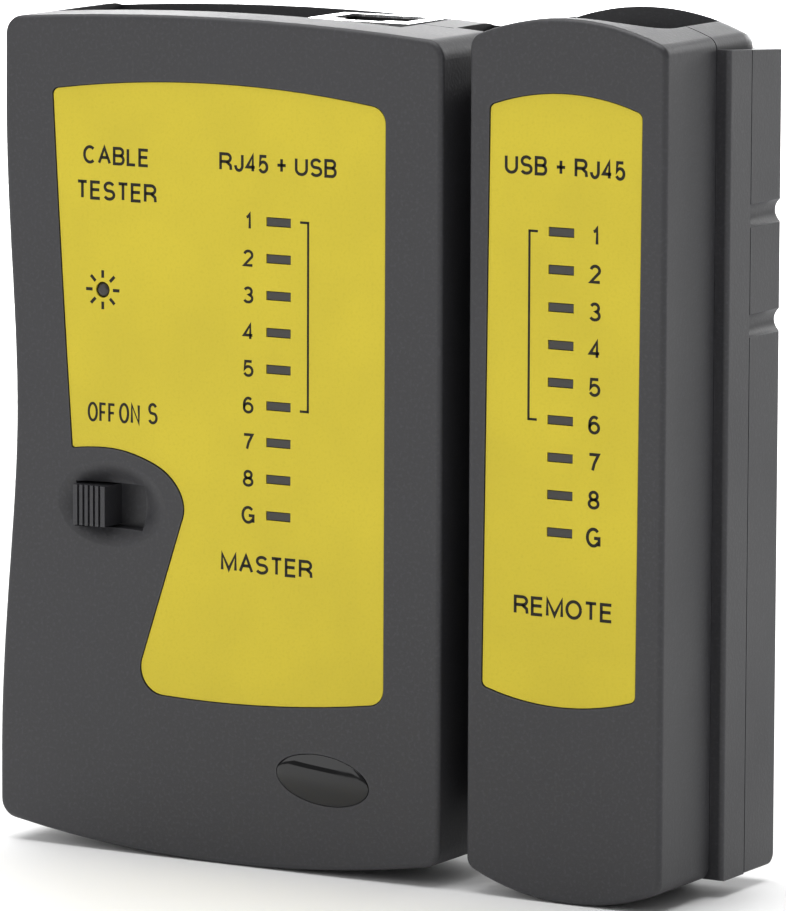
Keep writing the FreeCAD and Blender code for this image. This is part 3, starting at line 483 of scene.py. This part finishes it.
def lamp_numbers(sheet, x, first_z, height):
    """The lamps' names in a column; the letter at the foot is a little larger than the digits."""
    for i, name in enumerate(LAMP_NAMES):
        z = first_z - i * LAMP_PITCH
        middle = (x[0] + x[1]) / 2
        half = (x[1] - x[0]) / 2 * {"1": 0.55, "G": 1.25}.get(name, 1.0)
        tall = height * (1.06 if name == "G" else 1.0)
        add_word(sheet, name, (middle - half, middle + half), (z - tall / 2, z + tall / 2))


# The ring of short rays round the power lamp: its centre in x and z, its radius and their number
RAYS_CENTRE = (-34.55, 73.85)
RAYS_RADIUS = 2.05
RAYS = 8


def print_master():
    sheet = bmesh.new()
    add_word(sheet, "CABLE", (-37.5, -27.45), (90.15, 92.55))
    add_word(sheet, "TESTER", (-38.5, -26.3), (85.5, 88.0))
    add_word(sheet, "RJ45 + USB", (-16.9, 0.55), (90.35, 92.75))
    add_word(sheet, "OFF", (-36.9, -32.6), (56.5, 59.1), SWITCH_STROKE)
    add_word(sheet, "ON", (-32.1, -28.9), (56.6, 59.3), SWITCH_STROKE)
    add_word(sheet, "S", (-27.7, -26.2), (56.8, 59.6), SWITCH_STROKE)
    add_word(sheet, "MASTER", (-16.65, -2.9), (38.5, 40.95))
    lamp_numbers(sheet, (-13.35, -11.75), 84.1, 2.2)
    add_bracket(sheet, -3.65, 84.4, 60.1, -1.2)
    for i in range(RAYS):
        angle = 2 * math.pi * i / RAYS
        centre = (RAYS_CENTRE[0] + RAYS_RADIUS * math.cos(angle),
                  RAYS_CENTRE[1] + RAYS_RADIUS * math.sin(angle))
        add_bar(sheet, centre, 1.0, 0.42, angle)
    finish_print(sheet, "master_print", "master_label", "master")


def print_remote():
    sheet = bmesh.new()
    add_word(sheet, "USB + RJ45", (24.95, 42.1), (92.4, 94.85))
    add_word(sheet, "REMOTE", (26.6, 40.8), (36.6, 39.1))
    lamp_numbers(sheet, (37.1, 38.8), 85.25, 2.4)
    add_bracket(sheet, 28.55, 85.4, 61.6, 1.2)
    finish_print(sheet, "remote_print", "remote_label", "remote")


# ---------------------------------------------------------------- badge

BADGE_HALF_X = 6.85 * MM
BADGE_HALF_Z = 3.2 * MM
BADGE_TILT = math.radians(6.0)
BADGE_STEPS = 96
DOME_RINGS = (0.94, 0.85, 0.75, 0.65, 0.55, 0.45, 0.35, 0.25, 0.15)
DOME_FALL = 0.43 * MM


def badge_ring(shape, centre, factor, y):
    """One tilted oval of points, as a share of the badge's size."""
    ring = []
    for i in range(BADGE_STEPS):
        a = 2 * math.pi * i / BADGE_STEPS
        x, z = BADGE_HALF_X * factor * math.cos(a), BADGE_HALF_Z * factor * math.sin(a)
        ring.append(shape.verts.new((centre.x + x * math.cos(BADGE_TILT) + z * math.sin(BADGE_TILT), y,
                                     centre.z - x * math.sin(BADGE_TILT) + z * math.cos(BADGE_TILT))))
    return ring


def dome_badge():
    """The oval badge as a smooth dome with a fine edge, in place of the plain disc."""
    low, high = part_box("oval_badge")
    centre = (low + high) / 2
    profile = [(1.0, high.y), (1.0, low.y + 0.47 * MM), (0.985, low.y + 0.44 * MM)]
    profile += [(r, low.y + DOME_FALL * r * r) for r in DOME_RINGS]
    shape = bmesh.new()
    rings = [badge_ring(shape, centre, factor, y) for factor, y in profile]
    for first, second in zip(rings, rings[1:]):
        for i in range(BADGE_STEPS):
            j = (i + 1) % BADGE_STEPS
            shape.faces.new((first[i], first[j], second[j], second[i]))
    tip = shape.verts.new((centre.x, low.y, centre.z))
    for i in range(BADGE_STEPS):
        shape.faces.new((rings[-1][i], rings[-1][(i + 1) % BADGE_STEPS], tip))
    shape.faces.new(rings[0][::-1])
    bmesh.ops.recalc_face_normals(shape, faces=shape.faces)
    mesh = bpy.data.meshes.new("badge_dome")
    shape.to_mesh(mesh)
    shape.free()
    for face in mesh.polygons:
        face.use_smooth = len(face.vertices) < 5
    mesh.materials.append(LOOKS["badge_resin"])
    piece = bpy.data.objects.new("badge_dome", mesh)
    scene.collection.objects.link(piece)
    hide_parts("oval_badge")
    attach(piece, "master")


# ---------------------------------------------------------------- floor and light

FLOOR_HALF = 12.0
LIGHT_TARGET = (0.0, 0.0, 0.055)


def make_floor():
    mesh = bpy.data.meshes.new("floor")
    half = FLOOR_HALF
    corners = [(-half, -half, 0), (half, -half, 0), (half, half, 0), (-half, half, 0)]
    mesh.from_pydata(corners, [], [(0, 1, 2, 3)])
    floor = bpy.data.objects.new("floor", mesh)
    scene.collection.objects.link(floor)
    look = Look("floor", rough=0.9, specular=0.2)
    cloud = look.noise(6.0, 3.0)
    look.colour(look.mix(cloud, (0.86, 0.86, 0.86), (0.90, 0.90, 0.90)))
    look.bump(look.noise(900.0), 0.00005, 0.3)
    mesh.materials.append(look.material)


def area_light(name, towards, distance, size, power):
    """A soft rectangular light on the given side of the object, facing it."""
    data = bpy.data.lights.new(name, "AREA")
    data.shape = "RECTANGLE"
    data.size, data.size_y = size
    data.energy = power
    light = bpy.data.objects.new(name, data)
    light.visible_camera = False
    scene.collection.objects.link(light)
    away = Vector(towards).normalized()
    light.location = Vector(LIGHT_TARGET) + away * distance
    light.rotation_mode = "QUATERNION"
    light.rotation_quaternion = (-away).to_track_quat("-Z", "Y")


def sun_light(name, towards, strength, spread):
    """A wide soft sun on the given side; spread is its angle across, in degrees."""
    data = bpy.data.lights.new(name, "SUN")
    data.energy = strength
    data.angle = math.radians(spread)
    light = bpy.data.objects.new(name, data)
    scene.collection.objects.link(light)
    light.rotation_mode = "QUATERNION"
    light.rotation_quaternion = (-Vector(towards).normalized()).to_track_quat("-Z", "Y")


def make_lights():
    world = bpy.data.worlds.new("studio")
    world.use_nodes = True
    back = world.node_tree.nodes["Background"]
    back.inputs["Color"].default_value = (1.0, 1.0, 1.0, 1.0)
    back.inputs["Strength"].default_value = 0.28
    scene.world = world
    sun_light("top_light", (-0.12, 0.05, 1.0), 3.1, 60.0)
    area_light("front_light", (-0.60, -1.0, 0.45), 1.2, (0.8, 0.8), 2.8)
    area_light("back_light", (-0.05, 1.0, 0.22), 1.5, (0.9, 0.35), 15.0)
    area_light("top_glare", (-0.5, 0.87, 0.16), 1.5, (1.2, 0.5), 16.0)
    scene.view_settings.view_transform = "Standard"
    scene.view_settings.look = "None"


make_camera()
dress_cad_nodes()
print_master()
print_remote()
dome_badge()
make_floor()
make_lights()
